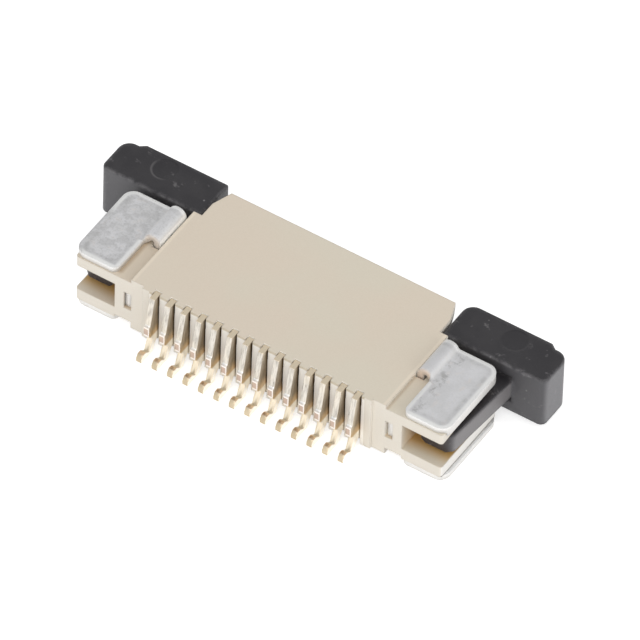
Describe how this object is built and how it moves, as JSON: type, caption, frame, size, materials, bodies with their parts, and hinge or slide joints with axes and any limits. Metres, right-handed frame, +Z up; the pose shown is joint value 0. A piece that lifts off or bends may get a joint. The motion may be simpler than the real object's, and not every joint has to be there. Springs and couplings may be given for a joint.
{
  "type": "flat flexible cable connector",
  "caption": "Low surface-mount connector for a flat flexible cable: cream moulded body, row of blanked contacts, folded metal hold-downs and a dark sliding lock with finger wings.",
  "frame": {"origin": "middle of the connector's box, on the circuit board's surface, with the lock closed", "axes": "+X along the row of contacts, +Y out of the cable's mouth and the way the lock opens, +Z up from the board"},
  "size_m": [0.0144, 0.0054, 0.0022],
  "materials": {
    "housing": "moulded cream high-temperature plastic, matte",
    "slider": "moulded dark grey plastic, matte",
    "contact": "blanked copper alloy, pale gold plating, bare cut ends",
    "hold_down": "matte tin plate with bright rolled edges"
  },
  "bodies": {
    "connector": {"housing": "housing", "hold_down_left": "hold_down", "hold_down_right": "hold_down", "contact_01": "contact", "contact_02": "contact", "contact_03": "contact", "contact_04": "contact", "contact_05": "contact", "contact_06": "contact", "contact_07": "contact", "contact_08": "contact", "contact_09": "contact", "contact_10": "contact", "contact_11": "contact", "contact_12": "contact", "contact_13": "contact", "contact_14": "contact"},
    "lock": {"slider": "slider"}
  },
  "joints": [
    {"name": "lock_slide", "type": "slide", "parent": "connector", "child": "lock", "axis": [0, 1, 0], "range_m": [0, 0.00085]}
  ]
}
